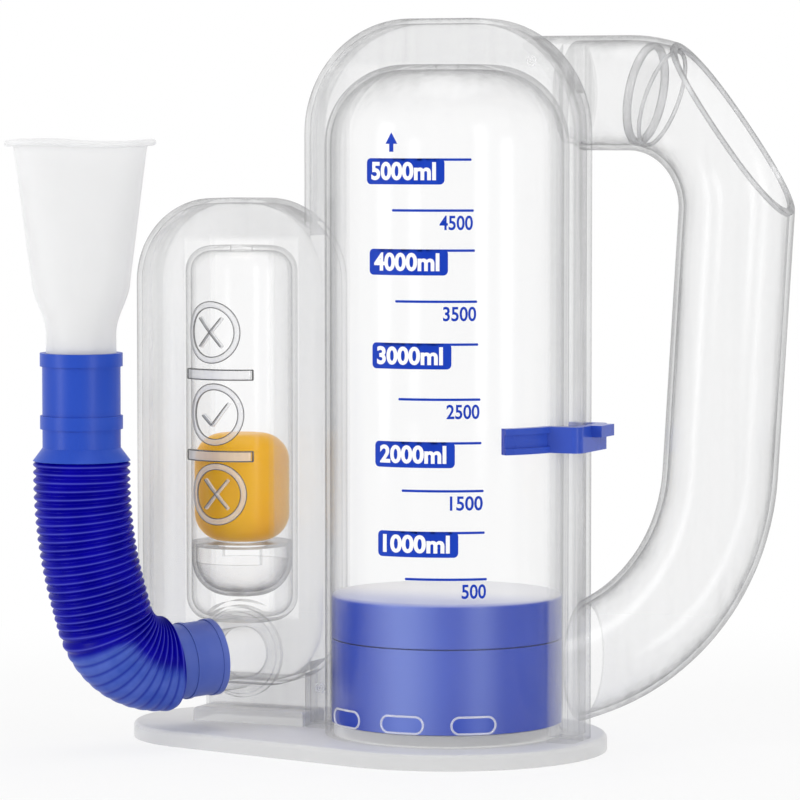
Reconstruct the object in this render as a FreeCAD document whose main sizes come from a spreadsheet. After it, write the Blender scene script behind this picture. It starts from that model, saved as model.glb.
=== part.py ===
import FreeCAD, Part
import math
import os
import re

# Incentive spirometer: a clear housing with a volume column and a flow tower,
# a hollow handle, a base plate, a piston, a float, a sliding marker,
# and a short corrugated hose with its mouthpiece.
# Lengths are in millimetres and angles in degrees. The column's axis is Z,
# the front faces -Y, the tower stands on the -X side and the handle on +X.

SIZES = {
    # base plate
    "base_thickness": 5.5,
    "base_column_radius": 56.5,
    "base_tower_radius": 39.0,
    "base_edge_round": 1.6,
    "plinth_height": 5.0,
    "plinth_half_depth": 9.0,
    "rest_ring_height": 4.2,
    "rest_ring_width": 3.5,
    # shells
    "wall": 1.8,
    "seam_gap": 0.1,
    "housing_top": 256.0,
    "border_half_width": 51.8,
    "border_half_depth": 10.0,
    "border_corner": 40.0,
    "rim_round": 4.0,
    "column_bore": 41.0,
    "column_top": 240.0,
    "dome_corner": 26.0,
    "dome_vent_radius": 4.0,
    # air slots round the foot of the column
    "slot_width": 15.5,
    "slot_height": 5.8,
    "slot_centre_height": 13.6,
    "slot_spacing": 34.0,
    "slot_first_angle": -32.0,
    # flow tower
    "tower_place": -80.0,
    "tower_bore": 18.2,
    "tower_bottom": 41.5,
    "tower_top": 176.0,
    "tower_end_round": 9.0,
    "ring_half_width": 37.5,
    "ring_half_depth": 12.0,
    "ring_bottom": 19.5,
    "ring_top": 193.0,
    "ring_top_corner": 30.0,
    "ring_bottom_corner": 24.0,
    "web_half_depth": 2.2,
    # inlet port, its heading measured to the left of straight ahead
    "port_place": -74.0,
    "port_height": 31.5,
    "port_heading": 36.0,
    "port_droop": 4.0,
    "port_bore": 9.2,
    "spigot_radius": 11.0,
    "spigot_end": 28.0,
    "collar_radius": 12.8,
    "collar_end": 11.8,
    "boss_radius": 16.0,
    "boss_height": 2.4,
    "boss_step": 1.4,
    # float and its seat
    "seat_clearance": 0.15,
    "seat_wall": 1.5,
    "seat_bottom": 50.5,
    "seat_top": 70.0,
    "seat_bowl_round": 13.0,
    "seat_hole_radius": 9.0,
    "seat_slot_half_width": 13.0,
    "seat_slot_height": 5.6,
    "float_radius": 17.0,
    "float_height": 38.5,
    "float_round": 10.0,
    "rest_gap": 0.3,
    # piston
    "piston_clearance": 0.5,
    "piston_height": 45.0,
    "piston_wall": 1.6,
    "piston_edge_round": 1.5,
    "skirt_height": 29.2,
    "skirt_gap": 0.5,
    "crown_spigot_height": 6.0,
    "crown_fit": 0.15,
    # marker that slides on the right side of the border
    "pointer_bottom": 106.5,
    "pointer_height": 9.0,
    "pointer_thickness": 3.6,
    "pointer_clearance": 0.3,
    "pointer_reach_angle": 49.0,
    "pointer_groove_depth": 0.9,
    "pointer_rib_height": 2.2,
    "pointer_tab_length": 4.0,
    "pointer_tab_width": 12.0,
    "pointer_tab_height": 4.0,
    # handle
    "handle_radius": 19.7,
    "handle_wall": 1.7,
    "handle_foot_height": 33.5,
    "handle_foot_slope": 20.0,
    "handle_sweep_radius": 76.0,
    "handle_grip_slope": 86.5,
    "handle_elbow_radius": 39.0,
    "stub_height": 230.0,
    "stub_seam": 47.6,
    "mouth_slope": 35.5,
    "mouth_offset": 46.4,
    "bulkhead_thickness": 1.6,
    "bulkhead_angle": 10.0,
    "bulkhead_fit": 0.1,
    # hose and cuffs
    "cuff_fit": 0.15,
    "cuff_wall": 2.1,
    "cuff_gap": 0.4,
    "cuff_bead": 0.8,
    "cuff_bead_width": 4.6,
    "lower_cuff_length": 18.6,
    "hose_radius": 17.0,
    "hose_bore": 12.6,
    "elbow_radius": 23.0,
    "hose_lean": 16.0,
    "hose_straighten_radius": 150.0,
    "hose_upright_length": 5.0,
    "upper_cuff_bottom": 102.5,
    "upper_cuff_neck": 107.0,
    "upper_cuff_top": 140.0,
    "lower_bead_height": 113.6,
    # mouthpiece
    "mouthpiece_heading": 24.0,
    "mouthpiece_wall": 1.3,
    "mouthpiece_neck_radius": 12.2,
    "mouthpiece_foot": 119.0,
    "mouthpiece_shoulder": 147.0,
    "mouthpiece_cheek": 165.0,
    "mouthpiece_top": 213.5,
    "mouthpiece_cheek_half_width": 17.2,
    "mouthpiece_cheek_half_depth": 12.0,
    "mouthpiece_top_half_width": 23.4,
    "mouthpiece_top_half_depth": 8.8,
    "lip_overhang": 3.0,
    "lip_thickness": 1.8,
}

doc = FreeCAD.newDocument("incentive_spirometer")
sheet = doc.addObject("Spreadsheet::Sheet", "sizes")
for row, (alias, value) in enumerate(SIZES.items(), start=1):
    sheet.set(f"A{row}", alias)
    sheet.set(f"B{row}", str(value))
    sheet.setAlias(f"B{row}", alias)
doc.recompute()

WORD = re.compile(r"[a-z][a-z_]+")


def size(alias):
    return float(sheet.get(alias))


def bind(thing, prop, formula):
    """Binds a property to a formula whose words are aliases of the sheet."""
    linked = WORD.sub(lambda m: "sizes." + m.group(0) if m.group(0) in SIZES else m.group(0), str(formula))
    thing.setExpression(prop, linked)


# Solids in the document

def box(name, x, y, z):
    solid = doc.addObject("Part::Box", name)
    for side, axis, (low, high) in zip(("Length", "Width", "Height"), "xyz", (x, y, z)):
        bind(solid, side, f"({high}) - ({low})")
        bind(solid, f"Placement.Base.{axis}", low)
    return solid


def cylinder(name, radius, z, x="0", y="0"):
    solid = doc.addObject("Part::Cylinder", name)
    bind(solid, "Radius", radius)
    bind(solid, "Height", f"({z[1]}) - ({z[0]})")
    for axis, place in zip("xyz", (x, y, z[0])):
        bind(solid, f"Placement.Base.{axis}", place)
    return solid


def rod(name, radius, length, start, direction):
    """A cylinder from a point along any direction."""
    solid = doc.addObject("Part::Cylinder", name)
    bind(solid, "Radius", radius)
    bind(solid, "Height", length)
    solid.Placement = FreeCAD.Placement(start, FreeCAD.Rotation(FreeCAD.Vector(0, 0, 1), direction))
    return solid


def cone(name, low_radius, high_radius, z, x="0", y="0"):
    solid = doc.addObject("Part::Cone", name)
    bind(solid, "Radius1", low_radius)
    bind(solid, "Radius2", high_radius)
    bind(solid, "Height", f"({z[1]}) - ({z[0]})")
    for axis, place in zip("xyz", (x, y, z[0])):
        bind(solid, f"Placement.Base.{axis}", place)
    return solid


def fuse(name, *solids):
    joined = doc.addObject("Part::MultiFuse", name)
    joined.Shapes = list(solids)
    joined.Refine = True
    return joined


def cut(name, base, tool):
    left = doc.addObject("Part::Cut", name)
    left.Base = base
    left.Tool = tool
    left.Refine = True
    return left


def common(name, *solids):
    shared = doc.addObject("Part::MultiCommon", name)
    shared.Shapes = list(solids)
    shared.Refine = True
    return shared


def round_edges(name, base, radius, chosen):
    """Fillets the edges of a solid that the chosen test picks."""
    doc.recompute()
    edges = [(i, radius, radius) for i, edge in enumerate(base.Shape.Edges, start=1) if chosen(edge)]
    rounded = doc.addObject("Part::Fillet", name)
    rounded.Base = base
    rounded.Edges = edges
    doc.recompute()
    return rounded


def circle_at(height):
    return lambda edge: edge.Closed and abs(edge.BoundBox.ZMin - height) + abs(edge.BoundBox.ZMax - height) < 0.01


def along_depth(low, high):
    """Picks straight edges that run along Y and lie between two heights."""
    def test(edge):
        extent = edge.BoundBox
        return extent.YLength > 1 and extent.XLength + extent.ZLength < 0.01 and low < extent.ZMin < high
    return test


def on_faces(depth, floor):
    """Picks edges that lie in the front and rear faces of a slab, but not those along its floor."""
    def test(edge):
        extent = edge.BoundBox
        return extent.YLength < 0.01 and abs(abs(extent.YMin) - depth) < 0.01 and extent.ZMax > floor + 0.01
    return test


def slab(name, x, half_depth, z, corners, rim, rounded_foot=False):
    """A slab with large corners in the X-Z plane and a rounded rim."""
    block = box(name + "_block", x, (f"-({half_depth})", half_depth), z)
    doc.recompute()
    extent = block.Shape.BoundBox
    middle = (extent.ZMin + extent.ZMax) / 2
    shaped = round_edges(name + "_shoulders", block, corners[0], along_depth(middle, extent.ZMax + 1))
    if rounded_foot:
        shaped = round_edges(name + "_heels", shaped, corners[1], along_depth(extent.ZMin - 1, middle))
    floor = extent.ZMin - 1 if rounded_foot else extent.ZMin
    return round_edges(name, shaped, rim, on_faces(extent.YMax, floor))


finished = []


def finish(thing, node):
    thing.Label = node
    finished.append((thing, node))


Z_AXIS = FreeCAD.Vector(0, 0, 1)
Y_AXIS = FreeCAD.Vector(0, 1, 0)
FORWARD = FreeCAD.Vector(0, -1, 0)

# Column and its dome

FOOT = "base_thickness"
column_block = cylinder("column_block", "column_bore + wall", (FOOT, "column_top"))
column_outer = round_edges("column_outer", column_block, size("dome_corner") + size("wall"),
                           circle_at(size("column_top")))
bore_block = cylinder("bore_block", "column_bore", (f"{FOOT} - 1", "column_top - wall"))
column_hollow = round_edges("column_hollow", bore_block, size("dome_corner"),
                            circle_at(size("column_top") - size("wall")))
dome_vent = cylinder("dome_vent", "dome_vent_radius", ("column_top - 3 * wall", "column_top + wall"))

# Flow tower, notched over the inlet port

RING_LEFT = "tower_place - ring_half_width"
RING_RIGHT = "tower_place + ring_half_width"
NOTCH = "boss_radius + 1"
port_root = FreeCAD.Vector(size("port_place"), -size("ring_half_depth"), size("port_height"))

tower_block = cylinder("tower_block", "tower_bore + wall", ("tower_bottom", "tower_top"), x="tower_place")
tower_rounded = round_edges("tower_rounded", tower_block, size("tower_end_round"),
                            lambda edge: circle_at(size("tower_top"))(edge) or circle_at(size("tower_bottom"))(edge))
notch = rod("notch", NOTCH, "2 * tower_bore", port_root, FORWARD)
tower_outer = cut("tower_outer", tower_rounded, notch)

shaft_block = cylinder("shaft_block", "tower_bore", ("tower_bottom + wall", "tower_top - wall"), x="tower_place")
shaft_rounded = round_edges(
    "shaft_rounded", shaft_block, size("tower_end_round") - size("wall"),
    lambda edge: circle_at(size("tower_top") - size("wall"))(edge)
    or circle_at(size("tower_bottom") + size("wall"))(edge))
notch_wall = rod("notch_wall", f"{NOTCH} + wall", "2 * tower_bore",
                 port_root + FreeCAD.Vector(0, size("wall"), 0), FORWARD)
tower_hollow = cut("tower_hollow", shaft_rounded, notch_wall)
tower_vent = cylinder("tower_vent", "dome_vent_radius", ("tower_top - 3 * wall", "tower_top + wall"),
                      x="tower_place")

# Hollow border round both

border = slab("border", ("-border_half_width", "border_half_width"), "border_half_depth",
              (FOOT, "housing_top"), (size("border_corner"), 0), size("rim_round"))
border_duct = slab("border_duct", ("wall - border_half_width", "border_half_width - wall"),
                   "border_half_depth - wall", (f"{FOOT} + wall", "housing_top - wall"),
                   (size("border_corner") - size("wall"), 0), size("rim_round") - size("wall"))
ring = slab("ring", (RING_LEFT, RING_RIGHT), "ring_half_depth", ("ring_bottom", "ring_top"),
            (size("ring_top_corner"), size("ring_bottom_corner")), size("rim_round"), rounded_foot=True)
ring_duct = slab("ring_duct", (f"{RING_LEFT} + wall", f"{RING_RIGHT} - wall"), "ring_half_depth - wall",
                 ("ring_bottom + wall", "ring_top - wall"),
                 (size("ring_top_corner") - size("wall"), size("ring_bottom_corner") - size("wall")),
                 size("rim_round") - size("wall"), rounded_foot=True)
web = box("web", (f"{RING_LEFT} + ring_bottom_corner", "-column_bore"), ("-web_half_depth", "web_half_depth"),
          (f"{FOOT} + plinth_height", "ring_bottom + 2 * wall"))

housing_outer = fuse("housing_outer", column_outer, border, tower_outer, ring, web)
chamber_walls = fuse("chamber_walls", column_outer, tower_outer)
ducts = cut("ducts", fuse("duct_space", border_duct, ring_duct), chamber_walls)
chambers = fuse("chambers", column_hollow, tower_hollow, dome_vent, tower_vent)
housing_walls = cut("housing_walls", cut("housing_less_ducts", housing_outer, ducts), chambers)


# Air slots: rounded oblong cuts through the column's wall

def slot_cutters():
    half_width = size("slot_width") / 2
    half_height = size("slot_height") / 2
    reach = size("column_bore") + 3 * size("wall")
    block = Part.makeBox(2 * half_width, 6 * size("wall"), 2 * half_height,
                         FreeCAD.Vector(-half_width, -reach, size("slot_centre_height") - half_height))
    ends = [edge for edge in block.Edges if edge.BoundBox.YLength > 1]
    oblong = block.makeFillet(half_height * 0.98, ends)
    cutters = []
    for side in (0, 180):
        for step in range(3):
            cutter = oblong.copy()
            turn = size("slot_first_angle") + step * size("slot_spacing")
            cutter.rotate(FreeCAD.Vector(0, 0, 0), Z_AXIS, side + (turn if side == 0 else -turn))
            cutters.append(cutter)
    return Part.makeCompound(cutters)


slots = doc.addObject("Part::Feature", "slots")
slots.Shape = slot_cutters()
slotted = cut("slotted", housing_walls, slots)

port_hole = rod("port_hole", "port_bore", "6 * wall", port_root + FreeCAD.Vector(0, 3 * size("wall"), 0), FORWARD)
REACH = 400
front_half = box("front_half", (f"-{REACH}", f"{REACH}"), (f"-{REACH}", "-seam_gap / 2"), ("0", f"{REACH}"))
rear_half = box("rear_half", (f"-{REACH}", f"{REACH}"), ("seam_gap / 2", f"{REACH}"), ("0", f"{REACH}"))

front_walls = common("front_walls", slotted, front_half)
finish(cut("front_shell", front_walls, port_hole), "front_shell")
finish(common("rear_shell", slotted, rear_half), "rear_shell")


# Base plate: two round ends joined by straight sides, with a plinth under the web
# and a ring that the piston rests on

def plate_outline():
    """The outline that two circles of unequal radius and their outer tangents make."""
    large = size("base_column_radius")
    small = size("base_tower_radius")
    distance = -size("tower_place")
    lean = math.acos((large - small) / distance)
    corners = {}
    for side in (-1, 1):
        direction = FreeCAD.Vector(-math.cos(lean), side * math.sin(lean), 0)
        corners["large", side] = direction * large
        corners["small", side] = direction * small - FreeCAD.Vector(distance, 0, 0)
    edges = [
        Part.Arc(corners["large", -1], FreeCAD.Vector(large, 0, 0), corners["large", 1]).toShape(),
        Part.LineSegment(corners["large", 1], corners["small", 1]).toShape(),
        Part.Arc(corners["small", 1], FreeCAD.Vector(-distance - small, 0, 0), corners["small", -1]).toShape(),
        Part.LineSegment(corners["small", -1], corners["large", -1]).toShape(),
    ]
    return Part.Wire(edges)


outline = doc.addObject("Part::Feature", "outline")
outline.Shape = plate_outline()
plate_block = doc.addObject("Part::Extrusion", "plate_block")
plate_block.Base = outline
plate_block.Dir = Z_AXIS
plate_block.Solid = True
bind(plate_block, "LengthFwd", "base_thickness")
plate = round_edges("plate", plate_block, size("base_edge_round"),
                    lambda edge: edge.BoundBox.ZMin > size("base_thickness") - 0.01)
plinth_block = box("plinth_block", (f"{RING_LEFT} + ring_bottom_corner - wall", "-border_half_width - seam_gap"),
                   ("-plinth_half_depth", "plinth_half_depth"),
                   (f"{FOOT} - 1", f"{FOOT} + plinth_height - seam_gap / 2"))
plinth = round_edges("plinth", plinth_block, size("base_edge_round"),
                     lambda edge: edge.BoundBox.ZMin > size("base_thickness") + size("plinth_height") - 0.1)
rest_outer = cylinder("rest_outer", "column_bore - piston_clearance - piston_wall / 2",
                      (f"{FOOT} - 1", f"{FOOT} + rest_ring_height"))
rest_inner = cylinder("rest_inner", "column_bore - piston_clearance - piston_wall / 2 - rest_ring_width",
                      (FOOT, f"{FOOT} + rest_ring_height + 1"))
rest_ring = cut("rest_ring", rest_outer, rest_inner)
finish(fuse("base_plate", plate, plinth, rest_ring), "base_plate")

# Piston: a crown pressed into a skirt, open underneath

PISTON_RADIUS = "column_bore - piston_clearance"
PISTON_FOOT = f"{FOOT} + rest_ring_height + rest_gap"
SKIRT_TOP = f"{PISTON_FOOT} + skirt_height"
CROWN_FOOT = f"{SKIRT_TOP} + skirt_gap"
CROWN_TOP = f"{PISTON_FOOT} + piston_height"
SPIGOT_RADIUS = f"{PISTON_RADIUS} - piston_wall - crown_fit"
SPIGOT_FOOT = f"{SKIRT_TOP} - crown_spigot_height"

skirt_block = cylinder("skirt_block", PISTON_RADIUS, (PISTON_FOOT, SKIRT_TOP))
skirt_bore = cylinder("skirt_bore", f"{PISTON_RADIUS} - piston_wall", (f"{PISTON_FOOT} - 1", f"{SKIRT_TOP} + 1"))
finish(cut("piston_skirt", skirt_block, skirt_bore), "piston_skirt")

crown_block = cylinder("crown_block", PISTON_RADIUS, (CROWN_FOOT, CROWN_TOP))
doc.recompute()
crown_rounded = round_edges("crown_rounded", crown_block, size("piston_edge_round"),
                            circle_at(crown_block.Shape.BoundBox.ZMax))
crown_spigot = cylinder("crown_spigot", SPIGOT_RADIUS, (SPIGOT_FOOT, f"{CROWN_TOP} - 2 * piston_wall"))
crown_hollow = cylinder("crown_hollow", f"{SPIGOT_RADIUS} - piston_wall",
                        (f"{SPIGOT_FOOT} - 1", f"{CROWN_TOP} - piston_wall"))
finish(cut("piston_crown", fuse("crown_body", crown_rounded, crown_spigot), crown_hollow), "piston_crown")

# Float and the cup that it rests in

SEAT_RADIUS = "tower_bore - seat_clearance"
seat_block = cylinder("seat_block", SEAT_RADIUS, ("seat_bottom", "seat_top"), x="tower_place")
seat_outer = round_edges("seat_outer", seat_block, size("seat_bowl_round"), circle_at(size("seat_bottom")))
bowl_block = cylinder("bowl_block", f"{SEAT_RADIUS} - seat_wall", ("seat_bottom + seat_wall", "seat_top - seat_wall"),
                      x="tower_place")
seat_bowl = round_edges("seat_bowl", bowl_block, size("seat_bowl_round") - size("seat_wall"),
                        circle_at(size("seat_bottom") + size("seat_wall")))
seat_hole = cylinder("seat_hole", "seat_hole_radius", ("seat_top - 2 * seat_wall", "seat_top + seat_wall"),
                     x="tower_place")
seat_slot = box("seat_slot", ("tower_place - seat_slot_half_width", "tower_place + seat_slot_half_width"),
                ("-2 * tower_bore", "2 * tower_bore"),
                ("seat_top - seat_wall - seat_slot_height", "seat_top - seat_wall"))
seat_space = fuse("seat_space", seat_bowl, seat_hole, seat_slot)
finish(cut("float_seat", seat_outer, seat_space), "float_seat")

FLOAT_FOOT = "seat_top + rest_gap"
float_block = cylinder("float_block", "float_radius", (FLOAT_FOOT, f"{FLOAT_FOOT} + float_height"), x="tower_place")
finish(round_edges("flow_float", float_block, size("float_round"), lambda edge: edge.Closed
                   and edge.BoundBox.ZLength < 0.01), "flow_float")

# Marker: a bar that hugs the column and a clip round the border's edge

POINTER = ("pointer_bottom", "pointer_bottom + pointer_height")
GRIP = "column_bore + wall + pointer_clearance"
arm_block = doc.addObject("Part::Cylinder", "arm_block")
bind(arm_block, "Radius", f"{GRIP} + pointer_thickness")
bind(arm_block, "Height", "pointer_height")
bind(arm_block, "Angle", "pointer_reach_angle")
bind(arm_block, "Placement.Base.z", "pointer_bottom")
arm_block.Placement.Rotation = FreeCAD.Rotation(Z_AXIS, size("pointer_reach_angle") - 90)
clip_block = box("clip_block", ("column_bore", "border_half_width + pointer_clearance + pointer_thickness"),
                 ("-(border_half_depth + pointer_clearance + pointer_thickness)",
                  "border_half_depth + pointer_clearance + pointer_thickness"), POINTER)
clip_rounded = round_edges("clip_rounded", clip_block, size("pointer_thickness") * 0.9,
                           lambda edge: edge.BoundBox.ZLength > 1 and edge.BoundBox.XMin > size("border_half_width"))
tab = box("tab", ("border_half_width", "border_half_width + pointer_thickness + pointer_tab_length"),
          ("-pointer_tab_width / 4", "pointer_tab_width * 3 / 4"),
          ("pointer_bottom + pointer_height - pointer_tab_height", "pointer_bottom + pointer_height"))
column_room = cylinder("column_room", GRIP, ("pointer_bottom - 1", "pointer_bottom + pointer_height + 1"))
border_room = box("border_room", ("0", "border_half_width + pointer_clearance"),
                  ("-border_half_depth - pointer_clearance", "border_half_depth + pointer_clearance"),
                  ("pointer_bottom - 1", "pointer_bottom + pointer_height + 1"))
groove_outer = cylinder("groove_outer", f"{GRIP} + 2 * pointer_thickness",
                        ("pointer_bottom + pointer_rib_height",
                         "pointer_bottom + pointer_height - pointer_rib_height"))
groove_inner = cylinder("groove_inner", f"{GRIP} + pointer_thickness - pointer_groove_depth", POINTER)
arm = cut("arm", arm_block, cut("groove", groove_outer, groove_inner))
pointer_body = fuse("pointer_body", arm, clip_rounded, tab)
finish(cut("goal_pointer", pointer_body, fuse("pointer_room", column_room, border_room)), "goal_pointer")


# Paths of tubes: straight runs joined by tangent arcs

def turn_from(start, heading, radius, angle, side):
    """The arc that leaves a point along a heading and turns by an angle towards a side."""
    centre = start + side * radius
    spread = math.radians(angle)
    points = [start]
    for share in (0.5, 1.0):
        swing = spread * share
        points.append(centre + heading * (radius * math.sin(swing)) - side * (radius * math.cos(swing)))
    new_heading = heading * math.cos(spread) + side * math.sin(spread)
    new_side = side * math.cos(spread) - heading * math.sin(spread)
    return Part.Arc(*points).toShape(), points[-1], new_heading, new_side


def run_from(start, heading, length):
    end = start + heading * length
    return Part.LineSegment(start, end).toShape(), end


def path(name, edges):
    spine = doc.addObject("Part::Feature", name)
    spine.Shape = Part.Wire(edges)
    return spine


def sweep(name, spine, radius, start, heading):
    ring_profile = doc.addObject("Part::Circle", name + "_profile")
    bind(ring_profile, "Radius", radius)
    ring_profile.Placement = FreeCAD.Placement(start, FreeCAD.Rotation(Z_AXIS, heading))
    tube = doc.addObject("Part::Sweep", name)
    tube.Sections = [ring_profile]
    tube.Spine = (spine, [f"Edge{i}" for i in range(1, len(spine.Shape.Edges) + 1)])
    tube.Solid = True
    tube.Frenet = False
    return tube


def in_plane(across, slope):
    """A unit vector at a slope above a horizontal direction."""
    tilt = math.radians(slope)
    return across * math.cos(tilt) + Z_AXIS * math.sin(tilt)


# Handle: up from the foot of the border, round the grip and back into the column's shoulder

X_AXIS = FreeCAD.Vector(1, 0, 0)
foot_slope = size("handle_foot_slope")
grip_slope = size("handle_grip_slope")
foot_run = size("handle_radius") / 2
foot_heading = in_plane(X_AXIS, foot_slope)
foot_point = FreeCAD.Vector(size("border_half_width"), 0, size("handle_foot_height"))
handle_start = foot_point - foot_heading * foot_run
first_run, foot_end = run_from(handle_start, foot_heading, foot_run)
low_arc, grip_start, grip_heading, grip_side = turn_from(
    foot_end, foot_heading, size("handle_sweep_radius"), grip_slope - foot_slope, in_plane(X_AXIS, foot_slope + 90))
elbow_radius = size("handle_elbow_radius")
elbow_rise = elbow_radius * (1 + math.cos(math.radians(grip_slope)))
grip_length = (size("stub_height") - grip_start.z - elbow_rise) / math.sin(math.radians(grip_slope))
grip_run, grip_end = run_from(grip_start, grip_heading, grip_length)
elbow_centre = grip_end + grip_side * elbow_radius
elbow_arc, elbow_end, stub_heading, _ = turn_from(grip_end, grip_heading, elbow_radius, 180 - grip_slope, grip_side)
stub_run, _ = run_from(elbow_end, stub_heading, elbow_end.x - size("column_bore") * 0.8)
handle_path = path("handle_path", [first_run, low_arc, grip_run, elbow_arc, stub_run])
handle_outer = sweep("handle_outer", handle_path, "handle_radius", handle_start, foot_heading)
handle_inner = sweep("handle_inner", handle_path, "handle_radius - handle_wall", handle_start, foot_heading)

# The slanted mouth is cut by a plane that passes over the elbow's centre
MOUTH_BLOCK = 160
mouth_normal = in_plane(X_AXIS, size("mouth_slope"))
mouth_turn = FreeCAD.Rotation(Y_AXIS, -size("mouth_slope"))
mouth_corner = elbow_centre + mouth_normal * size("mouth_offset")
mouth_corner += mouth_turn.multVec(FreeCAD.Vector(0, -MOUTH_BLOCK / 2, -MOUTH_BLOCK / 2))
mouth_cutter = doc.addObject("Part::Box", "mouth_cutter")
for side in ("Length", "Width", "Height"):
    setattr(mouth_cutter, side, MOUTH_BLOCK)
mouth_cutter.Placement = FreeCAD.Placement(mouth_corner, mouth_turn)

foot_room = box("foot_room", ("0", "border_half_width"), (f"-{REACH}", f"{REACH}"),
                ("0", "housing_top - border_corner - handle_radius"))
shoulder_rooms = [
    box(f"{side}_shoulder_room", ("0", "stub_seam"), depths, ("housing_top - 2 * border_corner", f"{REACH}"))
    for side, depths in (("front", (f"-{REACH}", "-border_half_depth")), ("rear", ("border_half_depth", f"{REACH}")))]
stub_end_wall = box("stub_end_wall", ("0", "stub_seam + handle_wall"), (f"-{REACH}", f"{REACH}"),
                    ("housing_top - 2 * border_corner", f"{REACH}"))
handle_hollow = cut("handle_hollow", handle_inner, stub_end_wall)
handle_space = fuse("handle_space", handle_hollow, mouth_cutter, foot_room, *shoulder_rooms)
handle_tube = cut("handle_tube", cut("handle_less_space", handle_outer, handle_space), housing_outer)
finish(common("handle_front", handle_tube, front_half), "handle_front")
finish(common("handle_rear", handle_tube, rear_half), "handle_rear")

bulkhead_slope = math.radians(180 - size("bulkhead_angle"))
bulkhead_heading = FreeCAD.Vector(math.cos(bulkhead_slope), 0, math.sin(bulkhead_slope))
bulkhead_point = elbow_centre + FreeCAD.Vector(math.sin(bulkhead_slope), 0, -math.cos(bulkhead_slope)) * elbow_radius
finish(rod("handle_bulkhead", "handle_radius - handle_wall - bulkhead_fit", "bulkhead_thickness",
           bulkhead_point, bulkhead_heading), "handle_bulkhead")

# Inlet port: a stepped boss on the ring's face, a collar and the spigot that the cuff fits

heading_turn = math.radians(size("port_heading"))
port_across = FreeCAD.Vector(-math.sin(heading_turn), -math.cos(heading_turn), 0)
port_heading = in_plane(port_across, -size("port_droop"))
port_side = in_plane(port_across, 90 - size("port_droop"))


def on_port(distance):
    return port_root + port_heading * distance


BURIED = 12
boss = rod("boss", "boss_radius", "boss_height", port_root, FORWARD)
boss_upper = rod("boss_upper", "boss_radius - boss_step", "boss_height + boss_step", port_root, FORWARD)
collar = rod("collar", "collar_radius", f"collar_end + {BURIED}", on_port(-BURIED), port_heading)
spigot = rod("spigot", "spigot_radius", f"spigot_end + {BURIED}", on_port(-BURIED), port_heading)
port_passage = rod("port_passage", "port_bore", f"spigot_end + 2 * {BURIED}", on_port(-BURIED), port_heading)
behind_ring = box("behind_ring", (f"-{REACH}", f"{REACH}"), ("-ring_half_depth", f"{REACH}"), ("0", f"{REACH}"))
port_body = fuse("port_body", boss, boss_upper, collar, spigot)
finish(cut("inlet_port", port_body, fuse("port_space", port_passage, behind_ring)), "inlet_port")

# Lower cuff: a straight sleeve with a bead at its open end

CUFF_BORE = "spigot_radius + cuff_fit"
CUFF_RADIUS = f"{CUFF_BORE} + cuff_wall"
cuff_start = size("collar_end") + size("cuff_gap")
hose_start = cuff_start + size("lower_cuff_length")
lower_sleeve = rod("lower_sleeve", CUFF_RADIUS, "lower_cuff_length", on_port(cuff_start), port_heading)
lower_bead = rod("lower_bead", f"{CUFF_RADIUS} + cuff_bead / 2", "cuff_bead_width / 2", on_port(cuff_start),
                 port_heading)
middle_bead = rod("middle_bead", f"{CUFF_RADIUS} + cuff_bead / 2", "cuff_bead_width / 4",
                  on_port(cuff_start + size("lower_cuff_length") * 0.6), port_heading)
lower_bore = rod("lower_bore", CUFF_BORE, "lower_cuff_length + 2", on_port(cuff_start - 1), port_heading)
finish(cut("lower_cuff", fuse("lower_cuff_body", lower_sleeve, lower_bead, middle_bead), lower_bore), "lower_cuff")

# Hose: a tight elbow, a leaning run and a gentle bend that brings it upright

hose_foot = on_port(hose_start)
elbow_bend, lean_start, lean_heading, lean_side = turn_from(
    hose_foot, port_heading, size("elbow_radius"), 90 + size("port_droop") - size("hose_lean"), port_side)
straighten_rise = size("hose_straighten_radius") * math.sin(math.radians(size("hose_lean")))
lean_rise = size("upper_cuff_bottom") - size("hose_upright_length") - straighten_rise - lean_start.z
lean_run, lean_end = run_from(lean_start, lean_heading, lean_rise / math.cos(math.radians(size("hose_lean"))))
upright_bend, upright_start, upright_heading, _ = turn_from(
    lean_end, lean_heading, size("hose_straighten_radius"), size("hose_lean"), lean_side)
upright_run, _ = run_from(upright_start, upright_heading, size("hose_upright_length"))
hose_path = path("hose_path", [elbow_bend, lean_run, upright_bend, upright_run])
hose_outer = sweep("hose_outer", hose_path, "hose_radius", hose_foot, port_heading)
hose_inner = sweep("hose_inner", hose_path, "hose_bore", hose_foot, port_heading)
finish(cut("corrugated_hose", hose_outer, hose_inner), "corrugated_hose")

# Upper cuff: a cone up from the bellows, a sleeve and two beads, on the upright's axis

HOSE_X = f"{upright_start.x:.6f}"
HOSE_Y = f"{upright_start.y:.6f}"
UPPER_BORE = "mouthpiece_neck_radius + cuff_fit"
UPPER_RADIUS = "mouthpiece_neck_radius + cuff_fit + cuff_wall * 0.6"
upper_cone = cone("upper_cone", "hose_radius", UPPER_RADIUS, ("upper_cuff_bottom", "upper_cuff_neck"), HOSE_X, HOSE_Y)
upper_sleeve = cylinder("upper_sleeve", UPPER_RADIUS, ("upper_cuff_neck", "upper_cuff_top"), HOSE_X, HOSE_Y)
upper_beads = [
    cylinder(f"{name}_bead", f"{UPPER_RADIUS} + cuff_bead", (low, f"{low} + cuff_bead_width"), HOSE_X, HOSE_Y)
    for name, low in (("waist", "lower_bead_height"), ("rim", "upper_cuff_top - cuff_bead_width"))]
upper_bore = cylinder("upper_bore", UPPER_BORE, ("mouthpiece_foot - rest_gap", "upper_cuff_top + 1"), HOSE_X, HOSE_Y)
upper_throat = cylinder("upper_throat", f"{UPPER_BORE} - cuff_wall", ("upper_cuff_bottom - 1", "upper_cuff_top"),
                        HOSE_X, HOSE_Y)
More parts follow.
